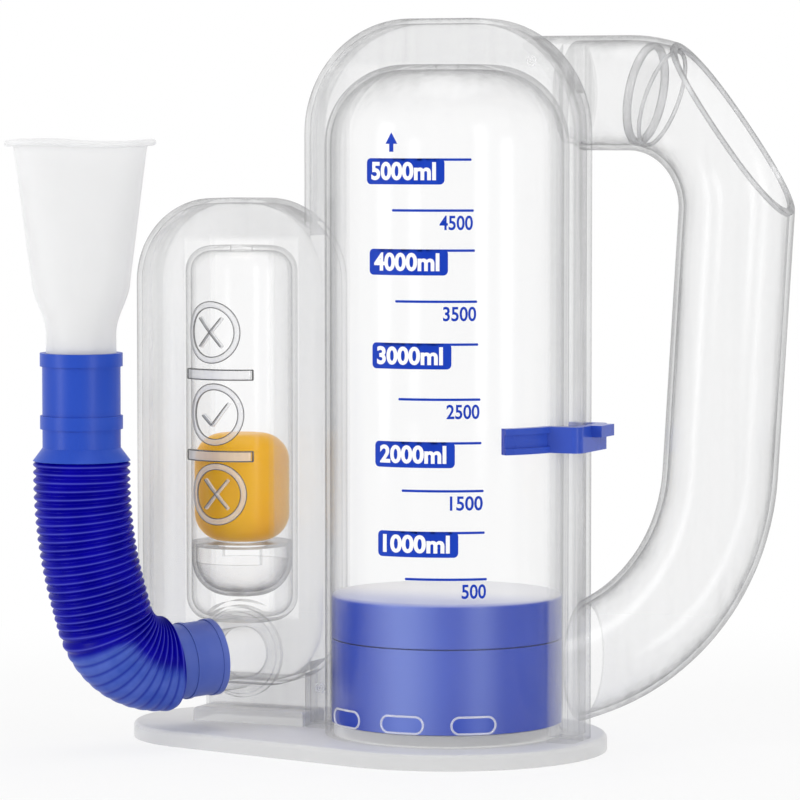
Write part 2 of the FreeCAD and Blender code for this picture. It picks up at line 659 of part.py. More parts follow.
upper_body = fuse("upper_body", upper_cone, upper_sleeve, *upper_beads)
finish(cut("upper_cuff", upper_body, fuse("upper_space", upper_bore, upper_throat)), "upper_cuff")

# Mouthpiece: a round neck that flattens and widens to a lipped mouth

SHOULDER_STEPS = 5


def mouth_sections(spare):
    """Half width, half depth and height of each section, with an S-shaped shoulder under a straight flare."""
    neck = "mouthpiece_neck_radius"
    sections = [(neck, f"{neck} - 0.01", f"mouthpiece_foot - {spare}")]
    for step in range(SHOULDER_STEPS + 1):
        share = step / SHOULDER_STEPS
        spread = share * share * (3 - 2 * share)
        sections.append((
            f"{neck} + (mouthpiece_cheek_half_width - {neck}) * {spread:.3f}",
            f"{neck} - 0.01 + (mouthpiece_cheek_half_depth - {neck}) * {spread:.3f}",
            f"mouthpiece_shoulder + (mouthpiece_cheek - mouthpiece_shoulder) * {share:.3f}"))
    sections.append(("mouthpiece_top_half_width", "mouthpiece_top_half_depth", f"mouthpiece_top + {spare}"))
    return sections


def oval(name, half_width, half_depth, height):
    curve = doc.addObject("Part::Ellipse", name)
    bind(curve, "MajorRadius", half_width)
    bind(curve, "MinorRadius", half_depth)
    curve.Placement.Rotation = FreeCAD.Rotation(Z_AXIS, size("mouthpiece_heading"))
    for axis, place in zip("xyz", (HOSE_X, HOSE_Y, height)):
        bind(curve, f"Placement.Base.{axis}", place)
    return curve


def flare(name, inset, spare):
    """A loft through the mouthpiece's sections, each smaller by an inset, and longer by a spare length."""
    sections = [oval(f"{name}_oval_{i}", f"{wide} - {inset}", f"{deep} - {inset}", height)
                for i, (wide, deep, height) in enumerate(mouth_sections(spare))]
    loft = doc.addObject("Part::Loft", name)
    loft.Sections = sections
    loft.Solid = True
    loft.Ruled = True
    return loft


def raised(name, curve, length):
    prism = doc.addObject("Part::Extrusion", name)
    prism.Base = curve
    prism.Dir = Z_AXIS
    prism.Solid = True
    bind(prism, "LengthFwd", length)
    return prism


flare_outer = flare("flare_outer", "0", "0")
flare_inner = flare("flare_inner", "mouthpiece_wall", "lip_thickness")
lip_oval = oval("lip_oval", "mouthpiece_top_half_width + lip_overhang", "mouthpiece_top_half_depth + lip_overhang",
                "mouthpiece_top - lip_thickness / 2")
lip_block = raised("lip_block", lip_oval, "lip_thickness")
lip = round_edges("lip", lip_block, size("lip_thickness") * 0.45, lambda edge: edge.Closed
                  and edge.BoundBox.ZLength < 0.01)
mouth_body = fuse("mouth_body", flare_outer, lip)
finish(cut("mouthpiece", mouth_body, flare_inner), "mouthpiece")

# Every object and sub-part is sound before anything is written

doc.recompute()
faults = [thing.Name for thing in doc.Objects if {"Invalid", "Error"} & set(thing.State)]
for thing, node in finished:
    if thing.Shape.isNull() or not thing.Shape.isValid():
        faults.append(node)
if faults:
    raise SystemExit("failed: " + ", ".join(faults))

os.makedirs("parts", exist_ok=True)
for thing, node in finished:
    thing.Shape.exportStep(f"parts/{node}.step")
    extent = thing.Shape.BoundBox
    print(f"{node}: {len(thing.Shape.Solids)} solid, {thing.Shape.Volume / 1000:.2f} cm3,",
          f"x {extent.XMin:.1f} to {extent.XMax:.1f}, y {extent.YMin:.1f} to {extent.YMax:.1f},",
          f"z {extent.ZMin:.1f} to {extent.ZMax:.1f}")
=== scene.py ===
# %% [markdown]
# An incentive spirometer stands on a pale table: a clear moulded housing with a volume column
# and a flow tower, a hollow handle, a short bellows hose and a frosted mouthpiece.
# The CAD solids are loaded first and stay where they are. They get finishes here. The hose's bellows
# and the mouthpiece take the place of their plain solids, and the printed scale, the raised marks and
# the rims are added on top.

# %% Load the frame
import bmesh
import bpy
import math
from mathutils import Matrix, Vector


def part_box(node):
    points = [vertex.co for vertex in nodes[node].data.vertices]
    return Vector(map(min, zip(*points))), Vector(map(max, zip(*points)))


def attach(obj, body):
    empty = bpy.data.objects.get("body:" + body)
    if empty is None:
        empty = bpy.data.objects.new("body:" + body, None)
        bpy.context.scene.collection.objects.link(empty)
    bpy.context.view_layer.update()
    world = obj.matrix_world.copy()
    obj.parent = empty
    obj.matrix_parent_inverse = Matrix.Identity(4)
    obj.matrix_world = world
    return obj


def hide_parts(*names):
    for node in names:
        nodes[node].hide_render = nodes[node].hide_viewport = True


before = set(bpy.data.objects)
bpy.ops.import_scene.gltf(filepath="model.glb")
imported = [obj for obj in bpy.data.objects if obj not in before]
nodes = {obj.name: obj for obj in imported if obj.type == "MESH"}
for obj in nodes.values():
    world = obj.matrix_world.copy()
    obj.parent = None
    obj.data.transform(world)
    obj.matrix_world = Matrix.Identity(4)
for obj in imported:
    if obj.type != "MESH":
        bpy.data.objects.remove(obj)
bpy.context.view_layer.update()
MM = 0.001
print("loaded", len(nodes), "solids")

# %% [markdown]
# The camera is first, because every later choice is judged through it. A long lens from a metre and
# a half away, a little above the housing's shoulder and turned to the right-hand side, gives the
# photograph's nearly parallel edges. A ray may pass many clear walls before it is stopped, because
# the housing has walls behind walls.

# %% Camera
WALLS_SEEN_THROUGH = 32
camera_data = bpy.data.cameras.new("camera")
camera_data.sensor_width = 36
camera_data.lens = 192.9
camera_data.clip_end = 20
camera = bpy.data.objects.new("camera", camera_data)
camera.location = (0.5951, -1.377, 0.220)
camera.rotation_euler = (math.radians(86.29), 0, math.radians(24))
bpy.context.scene.collection.objects.link(camera)
bpy.context.scene.camera = camera
bpy.context.scene.view_settings.view_transform = "Standard"
bpy.context.scene.cycles.transparent_max_bounces = WALLS_SEEN_THROUGH
print("camera at", tuple(round(place, 3) for place in camera.location))

# %% [markdown]
# A finish is a small program of nodes. Writing `1 - mask * 0.5` is easier to read than placing
# Math nodes by hand, so one class wraps a socket and turns Python's operators into Math nodes.
# A second class holds a material and adds any other node in one call.

# %% Shader maths as Python expressions
class Value:
    """One socket of a finish, with operators that add Math nodes."""

    def __init__(self, finish, socket):
        self.finish = finish
        self.socket = socket

    def maths(self, operation, *others):
        """A Math node with this value first."""
        inputs = dict(enumerate((self,) + others))
        return self.finish.node("Math", {"operation": operation}, inputs)

    def __add__(self, other):
        return self.maths("ADD", other)

    def __sub__(self, other):
        return self.maths("SUBTRACT", other)

    def __rsub__(self, other):
        return self.finish.node("Math", {"operation": "SUBTRACT"}, {0: other, 1: self})

    def __mul__(self, other):
        return self.maths("MULTIPLY", other)

    def __pow__(self, other):
        return self.maths("POWER", other)

    __radd__ = __add__
    __rmul__ = __mul__

    def least(self, other):
        """The smaller of two values."""
        return self.maths("MINIMUM", other)

    def most(self, other):
        """The larger of two values."""
        return self.maths("MAXIMUM", other)

    def step(self, low, high):
        """0 below low, 1 above high, smooth between them."""
        return self.finish.node("MapRange", {"interpolation_type": "SMOOTHSTEP"},
                                {"Value": self, "From Min": low, "From Max": high})


class Finish:
    """A new material, or the world that is given, which is built one node a call."""

    def __init__(self, name, world=None):
        self.material = bpy.data.materials.new(name) if world is None else world
        self.material.use_nodes = True
        self.tree = self.material.node_tree
        self.tree.nodes.clear()

    def node(self, kind, settings=None, inputs=None, output=0):
        """Adds a node: its settings first, then a number, a colour or a link for each socket."""
        made = self.tree.nodes.new("ShaderNode" + kind)
        for name, value in (settings or {}).items():
            setattr(made, name, value)
        for name, value in (inputs or {}).items():
            if isinstance(value, Value):
                self.tree.links.new(value.socket, made.inputs[name])
            else:
                made.inputs[name].default_value = value
        return Value(self, made.outputs[output])

    def place(self):
        """Where the shaded point lies, on the object's own coordinates."""
        return self.node("TexCoord", output="Object")

    def mixed(self, share, first, second):
        """A colour between two colours."""
        return self.node("Mix", {"data_type": "RGBA"}, {0: share, 6: first, 7: second}, 2)

    def noise(self, scale, detail=2.0, seed=0.0):
        """Noise on the object's own coordinates, stretched by a scale for each axis, in waves a metre."""
        shift = (seed, seed, seed)
        spread = self.node("Mapping", None, {"Vector": self.place(), "Scale": scale, "Location": shift})
        return self.node("TexNoise", None, {"Vector": spread, "Scale": 1.0, "Detail": detail})

    def bump(self, height, strength, distance):
        """A Normal that shows a height without moving the surface."""
        return self.node("Bump", None, {"Height": height, "Strength": strength, "Distance": distance})

    def rays(self, *kinds):
        """1 for a ray of one of these kinds, else 0."""
        first, *others = [self.node("LightPath", output=kind) for kind in kinds]
        for other in others:
            first = first.most(other)
        return first

    def show(self, shader, kind="Material"):
        """Links a shader to the output."""
        end = self.tree.nodes.new("ShaderNodeOutput" + kind)
        self.tree.links.new(shader.socket, end.inputs["Surface"])
        return self


print("finishes are written as expressions")

# %% [markdown]
# The housing isn't equally clear everywhere. Its flat border has air ducts behind it and looks pale
# grey, and the round walls in front of the piston and the float look clear up to a narrow dark edge.
# A second material on some of the faces could show this, but a solid's mesh is never changed, so a
# mask on the object's own coordinates tells them apart. The border lies near the middle plane and
# outside both round walls, and it also runs over the column and the tower and under the tower.

# %% Border and windows
TOWER_X = -80 * MM
COLUMN_SKIN = (42.9 * MM, 43.6 * MM)
TOWER_SKIN = (20.1 * MM, 20.8 * MM)
BORDER_FACE = (10.5 * MM, 14 * MM)
OVER_COLUMN = (238 * MM, 242 * MM)
OVER_TOWER = (177 * MM, 180 * MM)
UNDER_TOWER = (40 * MM, 43 * MM)


def from_axis(finish, spot, axis_x):
    """The distance from an upright axis."""
    level = finish.node("Mapping", None, {"Vector": spot, "Scale": (1, 1, 0), "Location": (-axis_x, 0, 0)})
    return finish.node("VectorMath", {"operation": "LENGTH"}, {0: level}, 1)


def border_mask(finish, spot, height):
    """1 on the border, 0 on the round walls of the column and the tower."""
    depth = finish.node("SeparateXYZ", None, {0: spot}, 1).maths("ABSOLUTE")
    off_column = from_axis(finish, spot, 0).step(*COLUMN_SKIN).most(height.step(*OVER_COLUMN))
    beside_tower = from_axis(finish, spot, TOWER_X).step(*TOWER_SKIN)
    off_tower = beside_tower.most(height.step(*OVER_TOWER)).most(1 - height.step(*UNDER_TOWER))
    return (1 - depth.step(*BORDER_FACE)) * off_column * off_tower


print("the border starts", round(COLUMN_SKIN[0] / MM, 1), "mm from the column's axis")

# %% [markdown]
# Clear polystyrene is the main finish. Seen face-on it is almost invisible, and where the wall turns
# away it goes grey, because more plastic lies along the line of sight. Refraction through eight walls
# needs many samples, so this finish thins itself with Alpha by the Layer Weight's facing value and
# adds a weak mirror layer by Fresnel. It thins more for shadow and diffuse rays, so that light
# reaches what stands inside. Long soft streaks and a faint waviness come from the mould.

# %% Clear plastic
DOME_RISE = (218 * MM, 238 * MM)
DOME_TINT = 0.55
FOOT_RISE = (8 * MM, 20 * MM)
FOOT_EDGE = 0.35
LIGHT_LET_IN = 0.85
MIRROR_MOST = 0.016
MIRROR_BLUR = 0.12


def clear_finish(name, face_on, edge_on, light, dark, gloss=0.18, spread=3.2, duct=0.0, clearer=0.0):
    """Clear plastic: face_on and edge_on are how much it hides there, light and dark its two greys.

    gloss scales the mirror layer, and a higher spread makes the grey edge narrower.
    duct is what the border adds to the tint, and clearer narrows the edge of the round windows."""
    finish = Finish(name)
    spot = finish.place()
    height = finish.node("SeparateXYZ", None, {0: spot}, 2)
    border = border_mask(finish, spot, height)
    window = 1 - border
    dome = window * height.step(*DOME_RISE)
    above_foot = FOOT_EDGE + (1 - FOOT_EDGE) * height.step(*FOOT_RISE)
    streaks = finish.noise((300, 300, 8), 3.0, seed=2.0)
    flow = finish.noise((34, 34, 22), 2.0, seed=7.0)
    facing = finish.node("LayerWeight", None, {"Blend": 0.5}, "Facing")
    shade = (facing ** 1.5 * 1.1 + (streaks - 0.5) * 1.5 + (flow - 0.5) * 0.8).step(0.15, 0.85)
    unlit_share = 1 - LIGHT_LET_IN * finish.rays("Is Shadow Ray", "Is Diffuse Ray")
    flat = face_on + duct * (border + DOME_TINT * dome)
    falling = facing ** (spread + clearer * window)
    body = (flat + (edge_on - flat) * above_foot * falling) * (0.75 + 0.45 * streaks)
    surface = finish.node("BsdfPrincipled", None, {
        "Base Color": finish.mixed(shade, light, dark),
        "Roughness": 0.16 + 0.1 * flow,
        "IOR": 1.5,
        "Alpha": (body * unlit_share).least(1.0),
        "Normal": finish.bump(flow, 0.25, 0.0006),
    })
    mirror = finish.node("BsdfGlossy", None, {"Color": (1, 1, 1, 1), "Roughness": MIRROR_BLUR})
    share = (finish.node("Fresnel", None, {"IOR": 1.42}) * gloss).least(MIRROR_MOST) * unlit_share
    return finish.show(finish.node("MixShader", None, {0: share, 1: surface, 2: mirror}))


PALE = (0.62, 0.622, 0.625, 1)
DARK = (0.12, 0.121, 0.125, 1)
clear_shell = clear_finish("clear_shell", 0.028, 0.97, PALE, DARK, duct=0.15, clearer=1.2)
clear_handle = clear_finish("clear_handle", 0.085, 0.97, PALE, DARK, clearer=0.8)
clear_wall = clear_finish("clear_wall", 0.050, 0.30, PALE, (0.35, 0.352, 0.36, 1))
clear_port = clear_finish("clear_port", 0.050, 0.95, PALE, DARK)
clear_seat = clear_finish("clear_seat", 0.040, 0.97, PALE, (0.06, 0.061, 0.065, 1), spread=2.4)
print("made the clear finishes of the housing")

# %% Raised marks and thick edges
# The marks' pale body is a painted highlight, and the fine dark strokes of mark_edge are a painted shade.
clear_mark = clear_finish("clear_mark", 0.30, 0.85, (0.96, 0.96, 0.96, 1), (0.60, 0.60, 0.60, 1),
                          gloss=0.6, spread=1.5)
mark_edge = clear_finish("mark_edge", 0.70, 0.95, (0.15, 0.15, 0.15, 1), (0.06, 0.06, 0.06, 1),
                         gloss=0.1, spread=1.5)
thick_edge = clear_finish("thick_edge", 0.45, 0.95, (0.52, 0.522, 0.53, 1), (0.22, 0.222, 0.23, 1),
                          gloss=0.6, spread=1.4)
print("made the finishes of the marks and edges")

# %% [markdown]
# The base plate and the mouthpiece are frosted: light passes but no image does. A pale colour that
# lets a little light through, a rough surface and cloudy thickness give that, without real scattering,
# which would be noisy at few samples.

# %% Frosted plastic
def frosted_finish(name, thin, thick, light, dark, cloud):
    """Frosted plastic: thin and thick are how much it hides face-on and edge-on.

    light and dark are its two close colours, and cloud is their waves a metre."""
    finish = Finish(name)
    clouds = finish.noise((cloud, cloud, cloud * 0.6), 3.0, seed=4.0)
    grain = finish.noise((2400, 2400, 2400), 2.0)
    facing = finish.node("LayerWeight", None, {"Blend": 0.5}, "Facing")
    colour = finish.mixed((clouds * 0.6 + facing * 0.2).step(0.2, 1.0), light, dark)
    return finish.show(finish.node("BsdfPrincipled", None, {
        "Base Color": colour,
        "Roughness": 0.42 + 0.12 * clouds,
        "IOR": 1.5,
        "Alpha": (thin + (thick - thin) * facing ** 1.6).least(1.0),
        "Normal": finish.bump(grain, 0.12, 0.0001),
    }))


frosted_base = frosted_finish("frosted_base", 0.45, 0.95, (0.77, 0.77, 0.77, 1), (0.94, 0.94, 0.94, 1), 26)
frosted_mouth = frosted_finish("frosted_mouthpiece", 0.50, 0.98,
                               (0.96, 0.961, 0.964, 1), (0.74, 0.742, 0.75, 1), 30)
print("made the frosted finishes")

# %% [markdown]
# The coloured parts are pigmented mouldings: a satin piston, a glossy float and marker, and soft cuffs.
# Each has a slow drift of colour, a little mottling in its gloss and a fine moulded skin. One function
# makes them all, because they differ in numbers only.

# %% Pigmented plastic
def pigment_finish(name, main, drift, rough, skin, coat=0.0, along=60, shine=0.5, paint=None):
    """Coloured plastic: main and drift are its two close colours, skin the strength of its fine grain.

    along is the waves a metre of the drift, shine the level of its plain reflection, and paint a
    function that lays more colour over its own."""
    finish = Finish(name)
    slow = finish.noise((along, along, along * 0.3), 2.0, seed=1.0)
    fine = finish.noise((1500, 1500, 1500), 2.0, seed=3.0)
    colour = finish.mixed(slow.step(0.3, 0.7), main, drift)
    return finish.show(finish.node("BsdfPrincipled", None, {
        "Base Color": paint(finish, colour) if paint else colour,
        "Roughness": rough + 0.12 * (slow - 0.5),
        "IOR": 1.5,
        "Specular IOR Level": shine,
        "Coat Weight": coat,
        "Coat Roughness": 0.08,
        "Normal": finish.bump(fine, skin, 0.0001),
    }))


float_orange = pigment_finish("float_orange", (0.95, 0.43, 0.000, 1), (1.0, 0.52, 0.000, 1),
                              0.30, 0.04, shine=0.12)
pointer_blue = pigment_finish("pointer_blue", (0.020, 0.062, 0.44, 1), (0.034, 0.085, 0.50, 1),
                              0.28, 0.06, coat=0.1, shine=0.25)
cuff_blue = pigment_finish("cuff_blue", (0.010, 0.062, 0.47, 1), (0.028, 0.092, 0.53, 1),
                           0.38, 0.16, shine=0.3)
# The lower cuff has the cuffs' blue painted paler, for the light that falls on it.
painted_lit_cuff = pigment_finish("lower_cuff_painted_lit_blue", (0.075, 0.125, 0.47, 1), (0.125, 0.180, 0.55, 1),
                          0.40, 0.16, shine=0.3)
print("made the pigmented finishes")

# %% [markdown]
# The piston is a blue moulding behind a clear wall, with soft upright bands of light down its side. A
# lamp could draw them, but that wall mirrors the table and not the lamps, so they are painted: a
# cosine of the angle about the axis, raised to a power, is 1 on a band and falls off softly. It
# repeats three times round. Painted pale light lies on the top face and fades towards the front.

# %% The piston's finish
REPEATS = 3
BROAD_BAND = (math.radians(6), 5.0, 0.80)
SLIM_BAND = (math.radians(120), 12.0, 0.45)
SHEEN = (0.18, 0.25, 0.66, 1)
# Painted light on the piston's top face: bluer at the front, paler at the back.
TOP_LIGHT_FRONT = (0.36, 0.40, 0.70, 1)
TOP_LIGHT_BACK = (0.86, 0.86, 0.89, 1)
TOP_LIGHT_REACH = (-42 * MM, 10 * MM)
TOP_EDGE = (53.8 * MM, 54.8 * MM)


def band_of_light(turn, angle, sharpness, share):
    """Upright bands at an angle about the axis, up to a share."""
    return ((turn * REPEATS - angle).maths("COSINE") * 0.5 + 0.5) ** sharpness * share


def sheen_and_film(finish, blue):
    """Paints the bands of light and the pale light of the top face over the piston's blue."""
    spot = finish.place()
    across, back, rise = [finish.node("SeparateXYZ", None, {0: spot}, axis) for axis in range(3)]
    turn = across.maths("ARCTAN2", back * -1)
    bands = band_of_light(turn, *BROAD_BAND) + band_of_light(turn, *SLIM_BAND)
    banded = finish.mixed(bands.least(1.0), blue, SHEEN)
    # painted pale light on the top face, paler towards the back
    top_light = finish.mixed(back.step(*TOP_LIGHT_REACH), TOP_LIGHT_FRONT, TOP_LIGHT_BACK)
    return finish.mixed(rise.step(*TOP_EDGE), banded, top_light)


piston_blue = pigment_finish("piston_blue", (0.012, 0.044, 0.41, 1), (0.022, 0.062, 0.45, 1),
                             0.30, 0.06, shine=0.25, paint=sheen_and_film)
print("the piston has", 2 * REPEATS, "bands of light")

# %% [markdown]
# Every solid that keeps its shape now gets its finish. Each could have its own material, but pieces
# that are moulded from one plastic share one, as on the real object, so that a change of it shows on
# all of them. Only the material changes: the mesh stays as the CAD made it.

# %% Dress the solids that keep their shape
wardrobe = {
    clear_shell: ("front_shell", "rear_shell"),
    clear_handle: ("handle_front", "handle_rear"),
    clear_wall: ("handle_bulkhead",),
    clear_port: ("inlet_port",),
    clear_seat: ("float_seat",),
    frosted_base: ("base_plate",),
    piston_blue: ("piston_crown", "piston_skirt"),
    float_orange: ("flow_float",),
    pointer_blue: ("goal_pointer",),
    cuff_blue: ("upper_cuff",),
    painted_lit_cuff: ("lower_cuff",),
}
for finish, wearers in wardrobe.items():
    for wearer in wearers:
        slots = nodes[wearer].data.materials
        slots.clear()
        slots.append(finish.material)
print("dressed", sum(len(wearers) for wearers in wardrobe.values()), "solids")

# %% [markdown]
# A new piece starts as a bmesh and ends as an object that rides on a CAD body. It could be placed by
# its object's location, but the export puts every object at the origin, so its place is in its mesh.
# Corners sharper than a set angle stay crisp.

# %% Finish a piece
def piece(name, shape, finish, body, crisp=38):
    """Makes an object of a bmesh, lets it ride on a body and says how many faces it has."""
    mesh = bpy.data.meshes.new(name)
    shape.to_mesh(mesh)
    shape.free()
    mesh.materials.append(finish.material)
    mesh.shade_smooth()
    mesh.set_sharp_from_angle(angle=math.radians(crisp))
    thing = bpy.data.objects.new(name, mesh)
    bpy.context.scene.collection.objects.link(thing)
    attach(thing, body)
    print(name, "has", len(mesh.polygons), "faces")
    return thing


def tilted(shape, degrees, axis):
    """Turns a bmesh about an axis through the origin."""
    turn = Matrix.Rotation(math.radians(degrees), 3, axis)
    bmesh.ops.rotate(shape, verts=shape.verts[:], cent=(0, 0, 0), matrix=turn)


# %% [markdown]
# The hose is a thin bellows. The real one is blown as a straight corrugated tube and bent when it is
# fitted, so it is made in that order here: a rippled profile is spun into a straight tube, and every
# vertex is then carried along the bent centreline. The inside of the elbow crowds together and the
# outside spreads, as it does on the real hose.

# %% The centreline of the hose
PORT = Vector((-0.074, -0.012, 0.0315))
PORT_TURN = math.radians(36)
DROOP = math.radians(4)
LEAN = math.radians(16)
ACROSS = Vector((-math.sin(PORT_TURN), -math.cos(PORT_TURN), 0))
UP = Vector((0, 0, 1))
SIDEWAYS = ACROSS.cross(UP)
COLLAR, CUFF_GAP, CUFF_LENGTH = 11.8, 0.4, 18.6
CUFF_END = (COLLAR + CUFF_GAP + CUFF_LENGTH) * MM
ELBOW = 23 * MM
STRAIGHTEN = 150 * MM
UPRIGHT = 5 * MM
CUFF_BOTTOM = 102.5 * MM


def heading(slope):
    """The direction that rises at a slope, away from the port."""
    return ACROSS * math.cos(slope) + UP * math.sin(slope)


def turned(start, slope, radius, turn):
    """The end of an arc that starts at a slope and turns upwards."""
    centre = start + heading(slope + math.pi / 2) * radius
    return centre - heading(slope + turn + math.pi / 2) * radius


hose_foot = PORT + heading(-DROOP) * CUFF_END
elbow_turn = math.pi / 2 + DROOP - LEAN
elbow_length = ELBOW * elbow_turn
elbow_end = turned(hose_foot, -DROOP, ELBOW, elbow_turn)
lean_slope = math.pi / 2 - LEAN
lean_length = (CUFF_BOTTOM - UPRIGHT - STRAIGHTEN * math.sin(LEAN) - elbow_end.z) / math.cos(LEAN)
lean_end = elbow_end + heading(lean_slope) * lean_length
upright_foot = turned(lean_end, lean_slope, STRAIGHTEN, LEAN)
hose_length = elbow_length + lean_length + STRAIGHTEN * LEAN + UPRIGHT
print("the hose is", round(hose_length / MM, 1), "mm long")
print("its upright end stands at", tuple(round(place, 4) for place in upright_foot))


# %% [markdown]
# A curve object with a bevel could carry the tube, but its ripples would then lie across the bend at
# even steps of the curve only. A function from the straight tube to the bent one keeps every vertex's
# own angle and depth, so the same ridges serve the elbow and the straight run.

# %% Bend a straight tube along it
def on_hose(reach, inward, sideways):
    """A point at a reach along the centreline, off it towards the bend's centre and to the side."""
    if reach < elbow_length:
        turn = reach / ELBOW
        middle, slope = turned(hose_foot, -DROOP, ELBOW, turn), turn - DROOP
    elif reach < elbow_length + lean_length:
        slope = lean_slope
        middle = elbow_end + heading(slope) * (reach - elbow_length)
    elif reach < hose_length - UPRIGHT:
        turn = (reach - elbow_length - lean_length) / STRAIGHTEN
        middle, slope = turned(lean_end, lean_slope, STRAIGHTEN, turn), lean_slope + turn
    else:
        slope = math.pi / 2
        middle = upright_foot + UP * (reach - hose_length + UPRIGHT)
    return middle + heading(slope + math.pi / 2) * inward + SIDEWAYS * sideways


print("the middle of the hose is at", tuple(round(place, 4) for place in on_hose(hose_length / 2, 0, 0)))

# %% [markdown]
# The ridges could be separate rings, but the real bellows is one skin, so one profile is spun. Two
# numbers are kept at each vertex for the finish: how high it is on its ridge, and how far the elbow
# pulls it apart. Where the elbow pulls, the ridges also lie flatter.

# %% Spin the bellows
RIDGES = 33
RIDGE_STEPS = 8
RIDGE_TOP = 16.95 * MM
RIDGE_DEPTH = 1.15 * MM
bellows = bmesh.new()
steps = RIDGES * RIDGE_STEPS
ridge_layer = bellows.verts.layers.float.new("ridge")
profile = []
for step in range(steps + 1):
    wave = 0.5 - 0.5 * math.cos(2 * math.pi * step / RIDGE_STEPS)
    spot = bellows.verts.new((RIDGE_TOP - RIDGE_DEPTH * (1 - wave ** 0.8), 0, hose_length * step / steps))
    spot[ridge_layer] = wave
    profile.append(spot)
chain = [bellows.edges.new(pair) for pair in zip(profile, profile[1:])]
bmesh.ops.spin(bellows, geom=profile + chain, cent=(0, 0, 0), axis=(0, 0, 1), angle=math.tau, steps=96,
               use_merge=True)
print("spun", RIDGES, "ridges,", round(hose_length / RIDGES / MM, 2), "mm apart")

# %% Bend it
PULLED_FROM = -2 * MM
PULLED_SOON = 4 * MM
PULLED_SHARE = 0.92
PULLED_FADE = 5 * MM
FLATTENED = 0.8
smooth = RIDGE_TOP - 0.25 * RIDGE_DEPTH


def pulled(reach, outside):
    """How far the elbow pulls the ridges apart, where outside is 1 on its outer side and -1 within."""
    coming = (reach - PULLED_FROM) / PULLED_SOON
    going = max(0.0, (elbow_length * PULLED_SHARE - reach) / PULLED_FADE)
    return min(1.0, max(0.0, outside + 0.30) * 1.5) * min(1.0, coming, going)


spread_layer = bellows.verts.layers.float.new("spread")
for spot in bellows.verts:
    reach = spot.co.z
    radius = math.hypot(spot.co.x, spot.co.y)
    stretch = pulled(reach, -spot.co.x / radius)
    spot[spread_layer] = stretch
    flatter = radius + (smooth - radius) * FLATTENED * stretch
    spot.co = on_hose(reach, spot.co.x * flatter / radius, spot.co.y * flatter / radius)
bmesh.ops.recalc_face_normals(bellows, faces=bellows.faces[:])
print("carried", len(bellows.verts), "vertices along the centreline")

# %% [markdown]
# The bellows is deep blue, with a painted highlight along each crest. On the elbow's outer side it is
# stretched and pale, with dark lines between the ridges. A painted texture could hold this, but the two
# numbers on the vertices follow the ridges exactly, also where they crowd.

# %% The bellows' finish
hose_finish = Finish("hose_blue")
ridge = hose_finish.node("Attribute", {"attribute_name": "ridge"}, output="Fac")
spread = hose_finish.node("Attribute", {"attribute_name": "spread"}, output="Fac")
mottle = hose_finish.noise((90, 90, 90), 3.0, seed=5.0)
deep = hose_finish.mixed(mottle.step(0.3, 0.7), (0.001, 0.000, 0.27, 1), (0.003, 0.001, 0.36, 1))
# A painted highlight: a paler blue along the top of each crest.
crest_highlight = hose_finish.mixed((ridge ** 14.0) * 0.55, deep, (0.14, 0.16, 0.68, 1))
pale = hose_finish.mixed(mottle.step(0.25, 0.75), (0.040, 0.085, 0.44, 1), (0.085, 0.140, 0.52, 1))
lined = hose_finish.mixed(((1 - ridge) ** 5.0) * 0.75, pale, (0.004, 0.012, 0.30, 1))
hose_finish.show(hose_finish.node("BsdfPrincipled", None, {
    "Base Color": hose_finish.mixed(spread.step(0.25, 0.75), crest_highlight, lined),
    "Roughness": 0.26 + 0.12 * mottle,
    "IOR": 1.5,
    "Specular IOR Level": 0.06,
    "Normal": hose_finish.bump(hose_finish.noise((900, 900, 900), 2.0), 0.08, 0.0001),
}))
hose = piece("bellows", bellows, hose_finish, "hose", crisp=80)
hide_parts("corrugated_hose")

# %% [markdown]
# The mouthpiece is one thin frosted moulding: a round neck, an S-shaped shoulder and a flat flare with
# a rolled lip. Its wall is drawn as one ring of vertices that is extruded up the outside, over the lip
# and down the inside, and each new ring is scaled to the section that it has reached. A solid with
# Solidify could do the wall, but not the lip, which is thicker than it.

# %% Grow a shell ring by ring
def grown(sections, segments=112):
    """A wall through oval sections (half width, half depth, height), closed from the last to the first."""
    shape = bmesh.new()
    wide, deep, height = sections[0]
    first = bmesh.ops.create_circle(shape, cap_ends=False, radius=1, segments=segments)["verts"]
    bmesh.ops.scale(shape, vec=(wide, deep, 1), verts=first)
    bmesh.ops.translate(shape, vec=(0, 0, height), verts=first)
    start = shape.edges[:]
    ring = start
    for next_wide, next_deep, next_height in sections[1:]:
        made = bmesh.ops.extrude_edge_only(shape, edges=ring)["geom"]
        spots = [part for part in made if isinstance(part, bmesh.types.BMVert)]
        ring = [part for part in made if isinstance(part, bmesh.types.BMEdge)
                and all(spot in spots for spot in part.verts)]
        bmesh.ops.scale(shape, vec=(next_wide / wide, next_deep / deep, 1), verts=spots)
        bmesh.ops.translate(shape, vec=(0, 0, next_height - height), verts=spots)
        wide, deep, height = next_wide, next_deep, next_height
    bmesh.ops.bridge_loops(shape, edges=start + ring)
    bmesh.ops.recalc_face_normals(shape, faces=shape.faces[:])
    return shape


print("a wall can be grown through oval sections")

# %% The mouthpiece's sections
NECK = 12.2
CHEEK = (17.2, 12.0)
MOUTH = (23.4, 8.8)
FOOT, SHOULDER, CHEEK_HEIGHT, TOP = 119.0, 147.0, 165.0, 213.2
WALL = 1.3
LIP = 3.0
LIP_THICKNESS = 2.4
LIP_STEPS = 8


def section(height):
    """Half width and half depth of the flare's outside at a height, in millimetres."""
    if height <= SHOULDER:
        return NECK, NECK
    if height <= CHEEK_HEIGHT:
        share = (height - SHOULDER) / (CHEEK_HEIGHT - SHOULDER)
        swell = share * share * (3 - 2 * share)
        return NECK + (CHEEK[0] - NECK) * swell, NECK + (CHEEK[1] - NECK) * swell
    share = (height - CHEEK_HEIGHT) / (TOP - CHEEK_HEIGHT)
    return CHEEK[0] + (MOUTH[0] - CHEEK[0]) * share, CHEEK[1] + (MOUTH[1] - CHEEK[1]) * share


